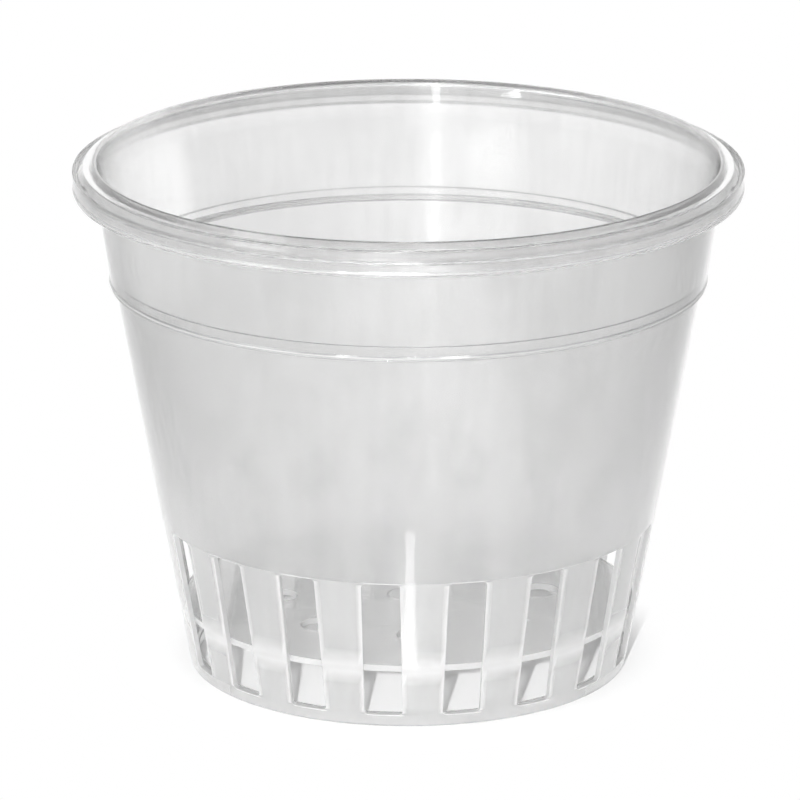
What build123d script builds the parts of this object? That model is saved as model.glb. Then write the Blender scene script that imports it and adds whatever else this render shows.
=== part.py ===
"""Clear orchid pot with slots: one plastic moulding, divided at its own feature lines.

The origin is at the middle of the underside, +Z is up, and sizes are in millimetres.
"""

import os
from math import radians, tan

from build123d import *

# Overall sizes
rim_diameter = 152.0
pot_height = 118.5
base_diameter = 100.0

# Walls
wall_thickness = 1.2
collar_draft_degrees = 8.5
collar_height = 17.9

# Rim
lip_height = 7.0
lip_overhang = 5.5
lip_thickness = 1.4
lip_taper = 0.6
mouth_flare_radius = 1.0
lip_edge_radius = 2.2
lip_root_radius = 1.2

# Stacking shoulder
shoulder_height = 3.4
shoulder_width = 1.4
shoulder_edge_radius = 0.4

# Slots and staves
slot_count = 18
slot_width = 8.6
slot_top_height = 35.5

# Foot
foot_height = 3.0
foot_width = 2.0
foot_edge_radius = 0.8

# Floor
floor_rise = 13.5
floor_thickness = 1.5
drain_hole_diameter = 9.0
drain_hole_count = 8
drain_circle_diameter = 60.0

# Heights of the joins between sections
lip_bottom = pot_height - lip_height
shoulder_top = lip_bottom - collar_height
shoulder_bottom = shoulder_top - shoulder_height

# Outer radii of the wall at those joins
collar_slope = tan(radians(collar_draft_degrees))
collar_top_radius = rim_diameter / 2 - lip_overhang
collar_bottom_radius = collar_top_radius - collar_height * collar_slope
wall_top_radius = collar_bottom_radius - shoulder_width
base_radius = base_diameter / 2
wall_slope = (wall_top_radius - base_radius) / shoulder_bottom

slot_pitch = 360.0 / slot_count


def wall_radius(height):
    """Outer radius of the tapered wall at a height."""
    return base_radius + wall_slope * height


def collar_radius(height):
    """Outer radius of the collar at a height, also above and below its own ends."""
    return collar_top_radius + collar_slope * (height - lip_bottom)


def wall_section(radius_at, low, high):
    """Corners of a wall of even thickness between two heights."""
    return [
        (radius_at(low) - wall_thickness, low),
        (radius_at(low), low),
        (radius_at(high), high),
        (radius_at(high) - wall_thickness, high),
    ]


def finish(section, name):
    """Labels a finished section and writes its file."""
    section.part.label = name
    export_step(section.part, f"parts/{name}.step")


os.makedirs("parts", exist_ok=True)

# Rim: the wall flares out into a rounded top and turns down into the lip
lip_radius = rim_diameter / 2
lip_ceiling = pot_height - lip_thickness
mouth_radius = collar_radius(pot_height) - wall_thickness
top_span = lip_radius - mouth_radius
top_round_span = mouth_flare_radius + lip_edge_radius
flare_radius = min(mouth_flare_radius, top_span * mouth_flare_radius / top_round_span)
edge_radius = min(lip_edge_radius, top_span * lip_edge_radius / top_round_span)
hollow_width = lip_radius - lip_thickness - collar_radius(lip_ceiling)
root_radius = min(lip_root_radius, hollow_width / 3)

with BuildPart() as rim_lip:
    with BuildSketch(Plane.XZ):
        with BuildLine():
            FilletPolyline(
                (collar_top_radius - wall_thickness, lip_bottom),
                (mouth_radius, pot_height),
                (lip_radius, pot_height),
                (lip_radius - lip_taper, lip_bottom),
                (lip_radius - lip_taper - lip_thickness, lip_bottom),
                (lip_radius - lip_thickness, lip_ceiling),
                (collar_radius(lip_ceiling), lip_ceiling),
                (collar_top_radius, lip_bottom),
                radius=[0, flare_radius, edge_radius, 0, 0, root_radius, root_radius, 0],
                close=True,
            )
        make_face()
    revolve(axis=Axis.Z)
finish(rim_lip, "rim_lip")

# Collar: the plain band between the lip and the shoulder
with BuildPart() as collar_band:
    with BuildSketch(Plane.XZ):
        with BuildLine():
            Polyline(*wall_section(collar_radius, shoulder_top, lip_bottom), close=True)
        make_face()
    revolve(axis=Axis.Z)
finish(collar_band, "collar_band")

# Shoulder: steps the wall out, with a ledge inside and a ledge below
shoulder_round = min(shoulder_edge_radius, shoulder_width / 3, shoulder_height / 3)
with BuildPart() as stacking_shoulder:
    with BuildSketch(Plane.XZ):
        with BuildLine():
            FilletPolyline(
                (wall_top_radius - wall_thickness, shoulder_bottom),
                (collar_radius(shoulder_bottom), shoulder_bottom),
                (collar_bottom_radius, shoulder_top),
                (wall_radius(shoulder_top) - wall_thickness, shoulder_top),
                radius=[0, shoulder_round, 0, shoulder_round],
                close=True,
            )
        make_face()
    revolve(axis=Axis.Z)
finish(stacking_shoulder, "stacking_shoulder")

# Main wall: from the tops of the slots to the shoulder
with BuildPart() as main_wall:
    with BuildSketch(Plane.XZ):
        with BuildLine():
            Polyline(*wall_section(wall_radius, slot_top_height, shoulder_bottom), close=True)
        make_face()
    revolve(axis=Axis.Z)
finish(main_wall, "main_wall")

# Staves: the bars of wall left between two slots with parallel sides
stave_height = slot_top_height - foot_height
for number in range(1, slot_count + 1):
    slot_angle = slot_pitch * (number - 1)
    with BuildPart() as stave:
        with BuildSketch(Plane.XZ.rotated((0, 0, slot_angle))):
            with BuildLine():
                Polyline(*wall_section(wall_radius, foot_height, slot_top_height), close=True)
            make_face()
        revolve(axis=Axis.Z, revolution_arc=slot_pitch)
        with BuildSketch(Plane.XY.offset(foot_height)):
            with PolarLocations(base_radius, 2, slot_angle, slot_pitch, endpoint=True):
                Rectangle(base_radius, slot_width)
        extrude(amount=stave_height, mode=Mode.SUBTRACT)
    finish(stave, f"stave_{number:02d}")

# Floor: a disc held between the staves, with holes to drain
floor_top = floor_rise + floor_thickness
with BuildPart() as raised_floor:
    with BuildSketch(Plane.XZ):
        with BuildLine():
            Polyline(
                (0, floor_rise),
                (wall_radius(floor_rise) - wall_thickness, floor_rise),
                (wall_radius(floor_top) - wall_thickness, floor_top),
                (0, floor_top),
                close=True,
            )
        make_face()
    revolve(axis=Axis.Z)
    with Locations((0, 0, floor_top)):
        with PolarLocations(drain_circle_diameter / 2, drain_hole_count):
            Hole(drain_hole_diameter / 2)
finish(raised_floor, "raised_floor")

# Foot: the closed ring under the staves
foot_round = min(foot_edge_radius, foot_width / 3, foot_height / 3)
with BuildPart() as foot_ring:
    with BuildSketch(Plane.XZ):
        with BuildLine():
            FilletPolyline(
                (base_radius - foot_width, 0),
                (base_radius, 0),
                (wall_radius(foot_height), foot_height),
                (base_radius - foot_width, foot_height),
                radius=[foot_round, foot_round, 0, 0],
                close=True,
            )
        make_face()
    revolve(axis=Axis.Z)
finish(foot_ring, "foot_ring")
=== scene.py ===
"""Looks of the clear orchid pot: one moulded shell in hazy clear plastic, on a pale floor in soft light."""

from math import acos, asin, atan2, ceil, cos, hypot, pi, radians, sin, sqrt, tan, tau

import bmesh
import bpy
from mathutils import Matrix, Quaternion, Vector


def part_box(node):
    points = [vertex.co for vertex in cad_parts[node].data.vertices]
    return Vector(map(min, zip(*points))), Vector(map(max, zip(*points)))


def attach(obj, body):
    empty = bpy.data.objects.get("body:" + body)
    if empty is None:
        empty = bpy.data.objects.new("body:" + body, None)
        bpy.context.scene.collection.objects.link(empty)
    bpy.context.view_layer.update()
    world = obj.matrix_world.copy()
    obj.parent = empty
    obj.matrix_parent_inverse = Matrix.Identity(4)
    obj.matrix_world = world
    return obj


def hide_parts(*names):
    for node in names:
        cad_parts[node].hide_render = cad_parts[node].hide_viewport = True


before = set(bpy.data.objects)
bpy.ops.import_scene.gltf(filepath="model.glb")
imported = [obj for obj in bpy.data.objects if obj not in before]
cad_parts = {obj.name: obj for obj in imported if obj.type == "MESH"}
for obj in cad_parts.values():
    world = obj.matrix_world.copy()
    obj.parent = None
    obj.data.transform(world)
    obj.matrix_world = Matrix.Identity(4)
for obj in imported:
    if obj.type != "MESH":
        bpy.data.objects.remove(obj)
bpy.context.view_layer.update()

MM = 0.001

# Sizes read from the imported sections
STAVES = sorted(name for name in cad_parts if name.startswith("stave_"))
lip_low, lip_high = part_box("rim_lip")
collar_low, collar_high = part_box("collar_band")
shoulder_low, shoulder_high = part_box("stacking_shoulder")
wall_low, wall_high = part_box("main_wall")
floor_low, floor_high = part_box("raised_floor")
foot_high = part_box("foot_ring")[1]

# Sizes that the boxes don't give
WALL = 1.2 * MM
LIP_RADIUS = 76.0 * MM
LIP_TAPER = 0.6 * MM
LIP_THICKNESS = 1.4 * MM
BASE_RADIUS = 50.0 * MM
FOOT_WIDTH = 2.0 * MM
SLOT_WIDTH = 8.6 * MM
DRAIN_COUNT = 8
DRAIN_CIRCLE = 30.0 * MM
DRAIN_RADIUS = 4.5 * MM

# Rounding of the corners
FLARE_ROUND = 1.0 * MM
LIP_ROUND = 2.2 * MM
ROOT_ROUND = 1.08 * MM
LIP_FOOT_ROUND = 0.35 * MM
LEDGE_ROUND = 0.4 * MM
LEDGE_ROOT_ROUND = 0.25 * MM
BEAD_ROUND = 0.3 * MM
FOOT_ROUND = 0.66 * MM
SLOT_CORNER_ROUND = 0.9 * MM
SLOT_EDGE_ROUND = 0.25 * MM
DRAIN_EDGE_ROUND = 0.3 * MM

# Haze of the plastic: that of the plain walls is 0, and the polished rim is clearer than they are. Cut edges
# and beads get the full share, which is a painted glow: paler, less clear plastic standing in for light
# gathered in them.
EDGE_PAINTED_GLOW = 1.0
STAVE_HAZE = 0.28
RIM_HAZE = -0.14
EDGE_FRINGE = 0.27 * MM
FLOOR_HEM = 0.8 * MM

# Fine bead round the lower edges of the lip and the shoulder
BEAD_PROUD = 0.31 * MM
BEAD_HEIGHT = 0.8 * MM
BEAD_SLOPE = 0.6 * MM

# Mark of the moulding gate, under the middle of the floor
GATE_DISH_RADIUS = 5.0 * MM
GATE_DISH_DEPTH = 0.4 * MM
GATE_STUB_RADIUS = 1.3 * MM
GATE_STUB_HEIGHT = 0.6 * MM

# Fineness of the mesh
SLOT_COLUMNS = 6
STAVE_COLUMNS = 8
SECTOR_COLUMNS = SLOT_COLUMNS + STAVE_COLUMNS
COLUMNS = SECTOR_COLUMNS * len(STAVES)
ARC_STEP = radians(15)
ROW_STEP = 4.0 * MM
HOLD = 0.3 * MM
SAME_HEIGHT = 0.03 * MM
DRAIN_SIDES = 48
BEVEL_STEPS = 3
SHARP_ANGLE = radians(40)

SLOT_PITCH = tau / len(STAVES)
WALL_SLOPE = (wall_high.x - foot_high.x) / (wall_high.z - foot_high.z)
COLLAR_SLOPE = (collar_high.x - shoulder_high.x) / (collar_high.z - collar_low.z)


def wall_radius(height):
    """Outer radius of the tapered wall at a height."""
    return foot_high.x + WALL_SLOPE * (height - foot_high.z)


def collar_radius(height):
    """Outer radius of the collar at a height."""
    return collar_high.x + COLLAR_SLOPE * (height - collar_high.z)


def rounded(corners):
    """Points of an open outline, from corners given as (radius, height, rounding)."""
    points = [Vector(corners[0][:2])]
    for before, corner, after in zip(corners, corners[1:], corners[2:]):
        here, round_radius = Vector(corner[:2]), corner[2]
        back = (Vector(before[:2]) - here).normalized()
        ahead = (Vector(after[:2]) - here).normalized()
        half_angle = acos(max(-1.0, min(1.0, back.dot(ahead)))) / 2
        bisector = (back + ahead).normalized()
        centre = here + bisector * round_radius / sin(half_angle)
        start = here + back * round_radius / tan(half_angle) - centre
        turn = pi - 2 * half_angle
        steps = max(2, ceil(turn / ARC_STEP))
        way = 1 if start.x * ahead.y - start.y * ahead.x > 0 else -1
        for step in range(steps + 1):
            angle = way * turn * step / steps
            points.append(centre + Vector((start.x * cos(angle) - start.y * sin(angle),
                                           start.x * sin(angle) + start.y * cos(angle))))
    points.append(Vector(corners[-1][:2]))
    return points


def with_rows(points):
    """The outline with more points on its long runs, close to their ends and evenly between."""
    rows = [points[0]]
    for start, end in zip(points, points[1:]):
        length = (end - start).length
        if length > 4 * HOLD:
            inner_start = start.lerp(end, HOLD / length)
            inner_end = end.lerp(start, HOLD / length)
            steps = max(1, ceil((length - 2 * HOLD) / ROW_STEP))
            rows += [inner_start.lerp(inner_end, step / steps) for step in range(steps + 1)]
        rows.append(end)
    return rows


def slot_half_width(height):
    """Half the slot's width at a height, with its corners rounded, and narrow above and below it."""
    low, high = foot_high.z + SLOT_CORNER_ROUND, wall_low.z - SLOT_CORNER_ROUND
    past = min(SLOT_CORNER_ROUND, max(low - height, height - high, 0))
    return SLOT_WIDTH / 2 - SLOT_CORNER_ROUND + sqrt(SLOT_CORNER_ROUND**2 - past**2)


def column_angle(column, radius, half_width):
    """Angle of a mesh column: even steps across each slot, then across the stave after it."""
    sector, step = divmod(column, SECTOR_COLUMNS)
    if step <= SLOT_COLUMNS:
        return sector * SLOT_PITCH + asin(half_width / radius * (2 * step / SLOT_COLUMNS - 1))
    edge = asin(half_width / radius)
    share = (step - SLOT_COLUMNS) / STAVE_COLUMNS
    return sector * SLOT_PITCH + edge + share * (SLOT_PITCH - 2 * edge)


def in_slot(column):
    """True if the face after this column lies in a slot."""
    return column % SECTOR_COLUMNS < SLOT_COLUMNS


SLOT_FACES = [column for column in range(COLUMNS) if in_slot(column)]
STAVE_FACES = [column for column in range(COLUMNS) if not in_slot(column)]
SLOT_EDGES = [column for column in range(COLUMNS) if in_slot(column) != in_slot(column - 1)]


def ring(mesh, radius, height, columns=range(COLUMNS)):
    """Vertices of one row of the pot, by column."""
    half_width = slot_half_width(height)
    made = {}
    for column in columns:
        angle = column_angle(column, radius, half_width)
        made[column] = mesh.verts.new((radius * cos(angle), radius * sin(angle), height))
    return made


def band(mesh, one, other, columns=range(COLUMNS), count=COLUMNS):
    """Faces between two rows."""
    for column in columns:
        after = (column + 1) % count
        mesh.faces.new((one[column], one[after], other[after], other[column]))


def circle(mesh, centre, radius, height, sides):
    """Vertices of a small round row, by side."""
    return {
        side: mesh.verts.new((centre.x + radius * cos(tau * side / sides),
                              centre.y + radius * sin(tau * side / sides), height))
        for side in range(sides)
    }


def loop_edges(mesh, row, count):
    """The edges of a closed row, made where there are none."""
    edges = []
    for index in range(count):
        pair = (row[index], row[(index + 1) % count])
        edges.append(mesh.edges.get(pair) or mesh.edges.new(pair))
    return edges


def lip_radius(height):
    """Outer radius of the lip at a height."""
    return LIP_RADIUS - LIP_TAPER * (lip_high.z - height) / (lip_high.z - lip_low.z)


def bead(radius_at, foot):
    """Corners of the bead along the lower edge of a band, from its foot up."""
    top = foot + BEAD_HEIGHT
    end = top + BEAD_SLOPE
    crest = radius_at(end) + BEAD_PROUD
    return [
        (crest, foot, BEAD_ROUND),
        (crest, top, BEAD_ROUND),
        (radius_at(end), end, BEAD_ROUND),
    ]


def upper_outline():
    """The wall from the outer tops of the slots, over the shoulder, collar and rim, to the inner tops."""
    slot_top, ledge_low, ledge_high = wall_low.z, shoulder_low.z, shoulder_high.z
    lip_foot, top = lip_low.z, lip_high.z
    ceiling = top - LIP_THICKNESS
    lip_inner = LIP_RADIUS - LIP_THICKNESS
    return with_rows(rounded([
        (wall_radius(slot_top), slot_top, 0),
        (wall_high.x, ledge_low, LEDGE_ROOT_ROUND),
        *bead(collar_radius, ledge_low),
        (collar_radius(ceiling), ceiling, ROOT_ROUND),
        (lip_inner, ceiling, ROOT_ROUND),
        (lip_inner - LIP_TAPER, lip_foot, LIP_FOOT_ROUND),
        *bead(lip_radius, lip_foot),
        (LIP_RADIUS, top, LIP_ROUND),
        (collar_radius(top) - WALL, top, FLARE_ROUND),
        (collar_radius(ledge_high) - WALL, ledge_high, LEDGE_ROOT_ROUND),
        (wall_radius(ledge_high) - WALL, ledge_high, LEDGE_ROUND),
        (wall_radius(slot_top) - WALL, slot_top, 0),
    ]))


def foot_outline():
    """The foot ring from the outer bottoms of the slots, under the foot, to the inner bottoms."""
    slot_bottom, inner = foot_high.z, BASE_RADIUS - FOOT_WIDTH
    return with_rows(rounded([
        (wall_radius(slot_bottom), slot_bottom, 0),
        (BASE_RADIUS, 0, FOOT_ROUND),
        (inner, 0, FOOT_ROUND),
        (inner, slot_bottom, LEDGE_ROUND),
        (wall_radius(slot_bottom) - WALL, slot_bottom, 0),
    ]))


def stave_heights():
    """Heights of the rows between the ends of the slots, with the floor's two faces among them."""
    low, high = foot_high.z + SLOT_CORNER_ROUND, wall_low.z - SLOT_CORNER_ROUND
    steps = ceil(pi / 2 / ARC_STEP)
    arc = [SLOT_CORNER_ROUND * sin(pi / 2 * step / steps) for step in range(1, steps)]
    heights = [low - rise for rise in reversed(arc)]
    for start, end in ((low, floor_low.z), (floor_low.z, floor_high.z), (floor_high.z, high)):
        count = ceil((end - start) / ROW_STEP)
        heights += [start + (end - start) * step / count for step in range(count)]
    return heights + [high] + [high + rise for rise in arc]


def add_floor_face(mesh, rim, height, middle=()):
    """One face of the floor, with a hem at its rim, round its drain holes. Returns the rows of the holes."""
    holes = []
    hem = ring(mesh, wall_radius(height) - WALL - FLOOR_HEM, height)
    band(mesh, rim, hem)
    edges = loop_edges(mesh, hem, COLUMNS) + list(middle)
    for drain in range(DRAIN_COUNT):
        angle = tau * drain / DRAIN_COUNT
        centre = Vector((DRAIN_CIRCLE * cos(angle), DRAIN_CIRCLE * sin(angle)))
        holes.append(circle(mesh, centre, DRAIN_RADIUS, height, DRAIN_SIDES))
        edges += loop_edges(mesh, holes[-1], DRAIN_SIDES)
    bmesh.ops.triangle_fill(mesh, use_beauty=True, edges=edges)
    return holes


def add_gate_mark(mesh):
    """The shallow dish and stub that the moulding gate leaves under the floor. Returns the dish's edge."""
    under = floor_low.z
    dish = under + GATE_DISH_DEPTH
    outline = rounded([
        (GATE_DISH_RADIUS, under, 0),
        (GATE_DISH_RADIUS - GATE_DISH_DEPTH, dish, GATE_DISH_DEPTH),
        (GATE_STUB_RADIUS, dish, GATE_DISH_DEPTH / 2),
        (GATE_STUB_RADIUS, dish - GATE_STUB_HEIGHT, GATE_STUB_RADIUS / 3),
        (GATE_STUB_RADIUS / 4, dish - GATE_STUB_HEIGHT, 0),
    ])
    middle = Vector((0, 0))
    rows = [circle(mesh, middle, point.x, point.y, DRAIN_SIDES) for point in outline]
    for one, other in zip(rows, rows[1:]):
        band(mesh, one, other, range(DRAIN_SIDES), DRAIN_SIDES)
    mesh.faces.new([rows[-1][side] for side in range(DRAIN_SIDES)])
    return loop_edges(mesh, rows[0], DRAIN_SIDES)


def haze_and_glow_share(point):
    """Haze of the plastic at a point, full on cut edges and beads, where it is a painted glow, and some on
    the staves and the foot.
    """
    radius, height = hypot(point.x, point.y), point.z
    if height > shoulder_low.z - HOLD:
        on_lip_foot = abs(height - lip_low.z) < SAME_HEIGHT
        on_lip_bead = radius > lip_radius(height) + BEAD_PROUD / 4
        on_shoulder_bead = height < collar_low.z and radius > collar_radius(height) + BEAD_PROUD / 4
        if on_lip_foot or on_lip_bead or on_shoulder_bead:
            return EDGE_PAINTED_GLOW
        return RIM_HAZE if height > lip_low.z else 0.0
    angle = atan2(point.y, point.x)
    on_wall = radius > wall_radius(height) - 1.5 * WALL
    if on_wall:
        slot_middle = round(angle / SLOT_PITCH) * SLOT_PITCH
        past_side = abs(radius * sin(angle - slot_middle)) - slot_half_width(height)
        past_end = max(foot_high.z - height, height - wall_low.z)
        past_floor = max(floor_low.z - height, height - floor_high.z)
        if past_end > EDGE_FRINGE:
            return STAVE_HAZE if height < foot_high.z else 0.0
        return EDGE_PAINTED_GLOW if min(past_side, past_floor) < EDGE_FRINGE else STAVE_HAZE
    drain = round(angle / tau * DRAIN_COUNT) / DRAIN_COUNT * tau
    off = hypot(point.x - DRAIN_CIRCLE * cos(drain), point.y - DRAIN_CIRCLE * sin(drain))
    return EDGE_PAINTED_GLOW if off < DRAIN_RADIUS + EDGE_FRINGE else 0.0


def make_shell():
    """The whole moulding as one closed mesh."""
    mesh = bmesh.new()
    upper = [ring(mesh, point.x, point.y) for point in upper_outline()]
    foot = [ring(mesh, point.x, point.y) for point in foot_outline()]
    for rows in (upper, foot):
        for one, other in zip(rows, rows[1:]):
            band(mesh, one, other)
        band(mesh, rows[0], rows[-1], SLOT_FACES)

    stave_columns = sorted({*STAVE_FACES, *((column + 1) % COLUMNS for column in STAVE_FACES)})
    outer, inner = [foot[0]], [foot[-1]]
    floor_rows = []
    for height in stave_heights():
        outer.append(ring(mesh, wall_radius(height), height, stave_columns))
        at_floor = min(abs(height - floor_low.z), abs(height - floor_high.z)) < SAME_HEIGHT
        columns = range(COLUMNS) if at_floor else stave_columns
        inner.append(ring(mesh, wall_radius(height) - WALL, height, columns))
        if at_floor:
            floor_rows.append(inner[-1])
    outer.append(upper[0])
    inner.append(upper[-1])

    under, over = floor_rows
    for row in range(len(outer) - 1):
        outside, outside_next = outer[row], outer[row + 1]
        inside, inside_next = inner[row], inner[row + 1]
        band(mesh, outside, outside_next, STAVE_FACES)
        band(mesh, inside, inside_next, SLOT_FACES if inside is under else STAVE_FACES)
        for column in SLOT_EDGES:
            mesh.faces.new((outside[column], inside[column], inside_next[column], outside_next[column]))

    holes_over = add_floor_face(mesh, over, floor_high.z)
    holes_under = add_floor_face(mesh, under, floor_low.z, add_gate_mark(mesh))
    drain_edges = []
    for one, other in zip(holes_over, holes_under):
        band(mesh, one, other, range(DRAIN_SIDES), DRAIN_SIDES)
        drain_edges += loop_edges(mesh, one, DRAIN_SIDES) + loop_edges(mesh, other, DRAIN_SIDES)

    slot_edges = []
    for row in range(len(outer) - 1):
        slot_edges += [mesh.edges.get((outer[row][column], outer[row + 1][column])) for column in SLOT_EDGES]
    for row in (upper[0], foot[0]):
        slot_edges += [mesh.edges.get((row[column], row[column + 1])) for column in SLOT_FACES]
    bmesh.ops.recalc_face_normals(mesh, faces=mesh.faces)
    for edges, size in ((slot_edges, SLOT_EDGE_ROUND), (drain_edges, DRAIN_EDGE_ROUND)):
        bmesh.ops.bevel(mesh, geom=edges, offset=size, offset_type="OFFSET", segments=BEVEL_STEPS,
                        profile=0.5, affect="EDGES", clamp_overlap=True)
    bmesh.ops.recalc_face_normals(mesh, faces=mesh.faces)

    data = bpy.data.meshes.new("pot_shell")
    mesh.to_mesh(data)
    mesh.free()
    data.polygons.foreach_set("use_smooth", [True] * len(data.polygons))
    data.set_sharp_from_angle(angle=SHARP_ANGLE)
    # Per point, with cut edges and beads at full share: a painted glow.
    data.attributes.new("haze_and_glow", "FLOAT", "POINT").data.foreach_set(
        "value", [haze_and_glow_share(vertex.co) for vertex in data.vertices])
    shell = bpy.data.objects.new("pot_shell", data)
    bpy.context.scene.collection.objects.link(shell)
    normals = shell.modifiers.new("even_normals", "WEIGHTED_NORMAL")
    normals.keep_sharp = True
    return shell


def add_node(tree, kind, **values):
    """A shader node with its inputs set by name."""
    node = tree.nodes.new(kind)
    for name, value in values.items():
        node.inputs[name.replace("_", " ")].default_value = value
    return node


def feed(tree, socket, value):
    """Links a socket to another, or sets it to a number or colour."""
    if isinstance(value, bpy.types.NodeSocket):
        tree.links.new(value, socket)
    else:
        socket.default_value = value


def maths(tree, operation, *values):
    """The result of a Math node on sockets or numbers."""
    node = tree.nodes.new("ShaderNodeMath")
    node.operation = operation
    for socket, value in zip(node.inputs, values):
        feed(tree, socket, value)
    return node.outputs[0]


def ramp(tree, value, from_low, from_high, to_low, to_high):
    """A value moved smoothly from one range to another."""
    node = tree.nodes.new("ShaderNodeMapRange")
    node.interpolation_type = "SMOOTHSTEP"
    for socket, number in zip(node.inputs, (value, from_low, from_high, to_low, to_high)):
        feed(tree, socket, number)
    return node.outputs[0]


def weighted(tree, one, one_share, other, other_share):
    """The sum of two values, each times its share."""
    first = maths(tree, "MULTIPLY", one, one_share)
    second = maths(tree, "MULTIPLY", other, other_share)
    return maths(tree, "ADD", first, second)


def mixed_colour(tree, share, one, other):
    """The colour that lies a share of the way from one to the other."""
    node = tree.nodes.new("ShaderNodeMix")
    node.data_type = "RGBA"
    for name, value in (("Factor", share), ("A", one), ("B", other)):
        feed(tree, node.inputs[name], value)
    return node.outputs["Result"]


def mixed_shader(tree, share, one, other):
    """The mix of two shader nodes, with a share of the second."""
    node = tree.nodes.new("ShaderNodeMixShader")
    for socket, value in zip(node.inputs, (share, one.outputs[0], other.outputs[0])):
        tree.links.new(value, socket)
    return node.outputs[0]


def blank_tree(owner):
    """The empty node tree of a material or world."""
    owner.use_nodes = True
    owner.node_tree.nodes.clear()
    return owner.node_tree


def grain(tree, size, detail, stretch=(1, 1, 1), rough=0.5):
    """Noise in the pot's own frame, with features of a size, longer where stretch is more than 1."""
    place = tree.nodes.new("ShaderNodeTexCoord")
    spread = tree.nodes.new("ShaderNodeVectorMath")
    spread.operation = "DIVIDE"
    tree.links.new(place.outputs["Object"], spread.inputs[0])
    spread.inputs[1].default_value = [size * share for share in stretch]
    noise = add_node(tree, "ShaderNodeTexNoise", Scale=1.0, Detail=detail, Roughness=rough)
    tree.links.new(spread.outputs[0], noise.inputs["Vector"])
    return noise.outputs["Fac"]


# Clear plastic
PLASTIC_DULL = (0.86, 0.86, 0.86, 1)
PLASTIC_CLEAR = (0.94, 0.94, 0.94, 1)
# Painted glow: colour of cut edges and beads, paler than the walls.
PLASTIC_PAINTED_GLOW = (0.98, 0.98, 0.98, 1)
PLASTIC_SEE_THROUGH = 0.88
EDGE_SEE_THROUGH = 0.18
PLASTIC_LIGHT_KEPT = (0.86, 0.86, 0.86, 1)
EDGE_LIGHT_KEPT = (0.35, 0.35, 0.35, 1)
ASLANT_FROM, ASLANT_TO = 0.55, 0.95
PLASTIC_IOR = 1.49
COAT_ROUGHNESS = 0.04
ROUGHNESS_LOW, ROUGHNESS_HIGH = 0.17, 0.23
FINE_LOW, FINE_HIGH = -0.02, 0.03
CLOUD_SIZE = 16 * MM
FLOW_SIZE = 2.2 * MM
FLOW_STRETCH = (1, 1, 14)
FINE_SIZE = 0.5 * MM
CLOUD_DETAIL, FLOW_DETAIL, FINE_DETAIL = 3.0, 2.0, 3.0
FINE_ROUGH = 0.6
CLOUD_TINT, FLOW_TINT = 0.6, 0.4
CLOUD_RELIEF, FLOW_RELIEF = 0.6, 0.08
RELIEF_DEPTH = 0.4 * MM
RELIEF_STRENGTH = 0.5
NOISE_LOW, NOISE_HIGH = 0.3, 0.7


def clear_plastic():
    """Hazy clear plastic, with cloudy patches, flow lines down the wall, a fine grain in its gloss and a
    painted glow on its cut edges and beads.
    """
    material = bpy.data.materials.new("clear_plastic")
    tree = blank_tree(material)
    output = tree.nodes.new("ShaderNodeOutputMaterial")
    clouds = grain(tree, CLOUD_SIZE, CLOUD_DETAIL)
    flow = grain(tree, FLOW_SIZE, FLOW_DETAIL, stretch=FLOW_STRETCH)
    fine = grain(tree, FINE_SIZE, FINE_DETAIL, rough=FINE_ROUGH)

    haze_and_glow = tree.nodes.new("ShaderNodeAttribute")
    haze_and_glow.attribute_name = "haze_and_glow"
    shade = weighted(tree, clouds, CLOUD_TINT, flow, FLOW_TINT)
    tint = mixed_colour(tree, ramp(tree, shade, NOISE_LOW, NOISE_HIGH, 0, 1), PLASTIC_DULL, PLASTIC_CLEAR)
    # Painted glow: cut edges and beads are paler, standing in for light gathered in them.
    pale = mixed_colour(tree, haze_and_glow.outputs["Fac"], tint, PLASTIC_PAINTED_GLOW)
    bump = add_node(tree, "ShaderNodeBump", Strength=RELIEF_STRENGTH, Distance=RELIEF_DEPTH)
    tree.links.new(weighted(tree, clouds, CLOUD_RELIEF, flow, FLOW_RELIEF), bump.inputs["Height"])

    body = tree.nodes.new("ShaderNodeBsdfPrincipled")
    tree.links.new(pale, body.inputs["Base Color"])
    dullness = ramp(tree, clouds, NOISE_LOW, NOISE_HIGH, ROUGHNESS_LOW, ROUGHNESS_HIGH)
    speckle = ramp(tree, fine, NOISE_LOW, NOISE_HIGH, FINE_LOW, FINE_HIGH)
    tree.links.new(maths(tree, "ADD", dullness, speckle), body.inputs["Roughness"])
    tree.links.new(bump.outputs[0], body.inputs["Normal"])
    body.inputs["IOR"].default_value = PLASTIC_IOR
    dulled_by_haze_and_glow = maths(tree, "MULTIPLY", haze_and_glow.outputs["Fac"], PLASTIC_SEE_THROUGH - EDGE_SEE_THROUGH)
    tree.links.new(maths(tree, "SUBTRACT", PLASTIC_SEE_THROUGH, dulled_by_haze_and_glow), body.inputs["Transmission Weight"])
    body.inputs["Coat Weight"].default_value = 1.0
    body.inputs["Coat Roughness"].default_value = COAT_ROUGHNESS
    tree.links.new(bump.outputs[0], body.inputs["Coat Normal"])

    facing = add_node(tree, "ShaderNodeLayerWeight", Blend=0.5)
    aslant = ramp(tree, facing.outputs["Facing"], ASLANT_FROM, ASLANT_TO, 0, 1)
    dimmed = maths(tree, "MAXIMUM", aslant, haze_and_glow.outputs["Fac"])
    kept = mixed_colour(tree, dimmed, PLASTIC_LIGHT_KEPT, EDGE_LIGHT_KEPT)
    lamp_light = tree.nodes.new("ShaderNodeBsdfTransparent")
    tree.links.new(kept, lamp_light.inputs["Color"])
    path = tree.nodes.new("ShaderNodeLightPath")
    surface = mixed_shader(tree, path.outputs["Is Shadow Ray"], body, lamp_light)
    tree.links.new(surface, output.inputs["Surface"])
    return material


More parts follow.
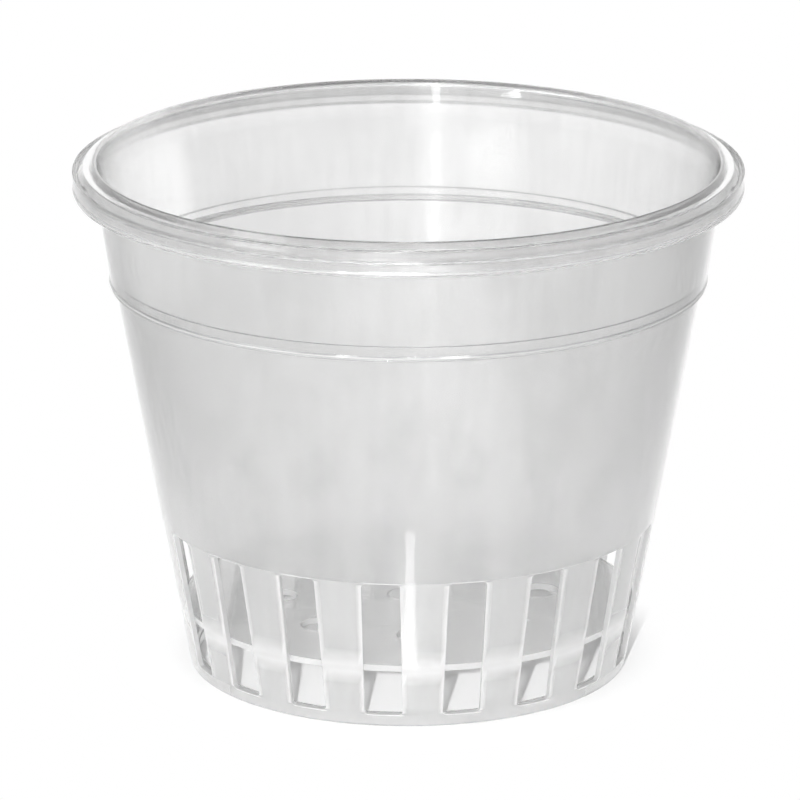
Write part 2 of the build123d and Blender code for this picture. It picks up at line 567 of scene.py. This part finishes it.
def seen_directly(tree):
    """A value that is 1 for rays from the camera and for those that glass or gloss sends straight on."""
    path = tree.nodes.new("ShaderNodeLightPath")
    sent_on = maths(tree, "MAXIMUM", path.outputs["Is Glossy Ray"], path.outputs["Is Transmission Ray"])
    seen = maths(tree, "MAXIMUM", path.outputs["Is Camera Ray"], sent_on)
    return maths(tree, "MULTIPLY", seen, maths(tree, "LESS_THAN", path.outputs["Diffuse Depth"], 0.5))


# Floor: its lift is a glow that only rays straight from the camera, gloss or glass see. The glow is weakest
# under the pot and rises away from it, which paints shade under the pot.
WHITE = (1, 1, 1, 1)
FLOOR_COLOUR = (0.8, 0.8, 0.8, 1)
FLOOR_LIFT_IN_PAINTED_SHADE = 0.02
FLOOR_LIFT_NEAR = 0.16
FLOOR_LIFT_FAR = 0.53
FLOOR_UNDER_TO = 44 * MM
FLOOR_NEAR_FROM = 64 * MM
FLOOR_FAR_FROM = 500 * MM
FLOOR_FADE_FROM = 44 * MM
FLOOR_FADE_TO = 68 * MM
FLOOR_REACH = 6.0


def pale_floor():
    """Pale floor with the pot's shadow on it and a painted shade under the pot, which turns into the white
    ground away from the pot.
    """
    material = bpy.data.materials.new("pale_floor")
    tree = blank_tree(material)
    output = tree.nodes.new("ShaderNodeOutputMaterial")
    seen = seen_directly(tree)
    lit = add_node(tree, "ShaderNodeBsdfDiffuse", Color=FLOOR_COLOUR)
    glow = add_node(tree, "ShaderNodeEmission", Color=WHITE)
    place = tree.nodes.new("ShaderNodeTexCoord")
    length = tree.nodes.new("ShaderNodeVectorMath")
    length.operation = "LENGTH"
    tree.links.new(place.outputs["Object"], length.inputs[0])
    away = length.outputs["Value"]
    # Painted shade: the glow is low under the pot and rises to the near level just past its foot.
    lift_with_painted_shade = ramp(tree, away, FLOOR_UNDER_TO, FLOOR_NEAR_FROM, FLOOR_LIFT_IN_PAINTED_SHADE, FLOOR_LIFT_NEAR)
    far_lift = ramp(tree, away, FLOOR_NEAR_FROM, FLOOR_FAR_FROM, 0, FLOOR_LIFT_FAR - FLOOR_LIFT_NEAR)
    lift = maths(tree, "ADD", lift_with_painted_shade, far_lift)
    tree.links.new(maths(tree, "MULTIPLY", seen, lift), glow.inputs["Strength"])
    near = tree.nodes.new("ShaderNodeAddShader")
    tree.links.new(lit.outputs[0], near.inputs[0])
    tree.links.new(glow.outputs[0], near.inputs[1])
    fade = ramp(tree, away, FLOOR_FADE_FROM, FLOOR_FADE_TO, 0, 1)
    far = add_node(tree, "ShaderNodeEmission", Color=WHITE, Strength=1.0)
    path = tree.nodes.new("ShaderNodeLightPath")
    whitened = maths(tree, "MULTIPLY", fade, path.outputs["Is Camera Ray"])
    tree.links.new(mixed_shader(tree, whitened, near, far), output.inputs["Surface"])
    return material


def make_floor():
    """The surface that the pot stands on."""
    data = bpy.data.meshes.new("floor")
    corners = [(-1, -1), (1, -1), (1, 1), (-1, 1)]
    data.from_pydata([(FLOOR_REACH * x, FLOOR_REACH * y, 0) for x, y in corners], [], [(0, 1, 2, 3)])
    floor = bpy.data.objects.new("floor", data)
    bpy.context.scene.collection.objects.link(floor)
    data.materials.append(pale_floor())
    return floor


# World: its soft light, and the levels at which the backdrop and the room before it are seen directly
SOFT_LIGHT = 0.42
BACKDROP_LEVEL = 1.0
ROOM_LEVEL = 1.0
BACKDROP_BLEND = 0.2


def make_world():
    """Even soft light, with a white backdrop and room where they are seen directly.

    The two levels are alike, but a world that doesn't read its direction lights the pot less.
    """
    world = bpy.data.worlds.new("studio")
    bpy.context.scene.world = world
    tree = blank_tree(world)
    output = tree.nodes.new("ShaderNodeOutputWorld")
    place = tree.nodes.new("ShaderNodeTexCoord")
    direction = tree.nodes.new("ShaderNodeSeparateXYZ")
    tree.links.new(place.outputs["Generated"], direction.inputs[0])
    level = ramp(tree, direction.outputs["Y"], -BACKDROP_BLEND, BACKDROP_BLEND, ROOM_LEVEL, BACKDROP_LEVEL)
    strength = add_node(tree, "ShaderNodeMix", A=SOFT_LIGHT)
    tree.links.new(seen_directly(tree), strength.inputs["Factor"])
    tree.links.new(level, strength.inputs["B"])
    light = add_node(tree, "ShaderNodeBackground", Color=WHITE)
    tree.links.new(strength.outputs["Result"], light.inputs["Strength"])
    tree.links.new(light.outputs[0], output.inputs["Surface"])


# Camera, as fitted to the photograph
CAMERA_DISTANCE = 1.6
CAMERA_PITCH = radians(16.92)
CAMERA_TURN = radians(-3.7)
CAMERA_LENS = 316.0
CAMERA_NEAR = 0.1
AIM_HEIGHT = 61.2 * MM
AIM_ASIDE = -1.9 * MM

# Lamps
GROUND_LAMP_HEIGHT = 0.5 * MM
FOOT_MIDDLE = (0, 0, 0)
PATCH = (-64 * MM, 26 * MM, 100 * MM)


def from_pot(turn, pitch, distance):
    """A point at a distance from the aim, turned to the right of straight in front and raised by a pitch."""
    flat = distance * cos(pitch)
    return Vector((flat * sin(turn), -flat * cos(turn), AIM_HEIGHT + distance * sin(pitch)))


def make_camera():
    """The camera at the photograph's viewing angle."""
    data = bpy.data.cameras.new("camera")
    data.lens = CAMERA_LENS
    data.clip_start = CAMERA_NEAR
    camera = bpy.data.objects.new("camera", data)
    bpy.context.scene.collection.objects.link(camera)
    bpy.context.scene.camera = camera
    camera.location = from_pot(CAMERA_TURN, CAMERA_PITCH, CAMERA_DISTANCE)
    aside = Vector((cos(CAMERA_TURN), sin(CAMERA_TURN), 0)) * AIM_ASIDE
    aim = Vector((0, 0, AIM_HEIGHT)) + aside
    camera.rotation_euler = (aim - camera.location).to_track_quat("-Z", "Y").to_euler()


def add_lamp(name, turn, pitch, distance, width, height, power, roll=0.0):
    """A rectangular lamp that faces the pot, rolled about the line to it. Its angles are in degrees."""
    data = bpy.data.lights.new(name, "AREA")
    data.shape = "RECTANGLE"
    data.size, data.size_y, data.energy = width, height, power
    lamp = bpy.data.objects.new(name, data)
    bpy.context.scene.collection.objects.link(lamp)
    lamp.location = from_pot(radians(turn), radians(pitch), distance)
    aim = Vector((0, 0, AIM_HEIGHT))
    facing = (aim - lamp.location).to_track_quat("-Z", "Y")
    lamp.rotation_euler = (facing @ Quaternion((0, 0, 1), radians(roll))).to_euler()


def shine_only_on(lamp, surface):
    """Keeps a lamp's light to one surface, with the pot's shadow on it."""
    group = bpy.data.collections.new(f"lit_by_{lamp.name}")
    group.objects.link(surface)
    lamp.light_linking.receiver_collection = group


def add_ground_streak(name, turn, start, end, width, power):
    """A strip of light that lies on the ground and runs away from the pot, whose wall mirrors it."""
    data = bpy.data.lights.new(name, "AREA")
    data.shape = "RECTANGLE"
    data.size, data.size_y, data.energy = width, end - start, power
    lamp = bpy.data.objects.new(name, data)
    bpy.context.scene.collection.objects.link(lamp)
    middle = (start + end) / 2
    lamp.location = (middle * sin(radians(turn)), -middle * cos(radians(turn)), GROUND_LAMP_HEIGHT)
    lamp.rotation_euler = (pi, 0, radians(turn))


def add_spot(name, turn, pitch, distance, target, reach, power, size, blend):
    """A spot lamp that throws a round patch of light about a target, softer with a larger size or blend."""
    data = bpy.data.lights.new(name, "SPOT")
    data.energy, data.shadow_soft_size, data.spot_blend = power, size, blend
    lamp = bpy.data.objects.new(name, data)
    bpy.context.scene.collection.objects.link(lamp)
    lamp.location = from_pot(radians(turn), radians(pitch), distance)
    way = Vector(target) - lamp.location
    data.spot_size = 2 * atan2(reach, way.length)
    lamp.rotation_euler = way.to_track_quat("-Z", "Y").to_euler()
    return lamp


def make_lights(floor):
    """A key lamp, a soft lamp, strips that the wall and beads mirror, and spots on the floor and inside."""
    add_lamp("key", turn=-11.7, pitch=17.5, distance=3, width=0.16, height=0.16, power=15.2)
    add_lamp("left", turn=-60, pitch=30, distance=1.5, width=0.5, height=0.5, power=1.3)
    add_lamp("bead_line", turn=-6, pitch=37.4, distance=1.5, width=1.2, height=0.035, power=1.7)
    add_lamp("strip", turn=-14.6, pitch=3, distance=1.4, width=0.07, height=0.3, power=0.36)
    add_lamp("card", turn=-37, pitch=3.3, distance=1.4, width=0.5, height=0.014, power=0.5, roll=-1.1)
    ground_key = add_spot("ground_key", turn=-8.2, pitch=17.5, distance=1.5, target=FOOT_MIDDLE,
                          reach=190 * MM, power=158, size=18 * MM, blend=0.8)
    shine_only_on(ground_key, floor)
    add_ground_streak("streak", turn=-3.2, start=70 * MM, end=118 * MM, width=6 * MM, power=0.0028)
    add_spot("patch", turn=66, pitch=25, distance=1.0, target=PATCH,
             reach=27 * MM, power=42, size=3 * MM, blend=0.03)


shell = make_shell()
shell.data.materials.append(clear_plastic())
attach(shell, "root")
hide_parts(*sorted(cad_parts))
floor = make_floor()
make_world()
make_lights(floor)
make_camera()
bpy.context.scene.view_settings.view_transform = "Standard"
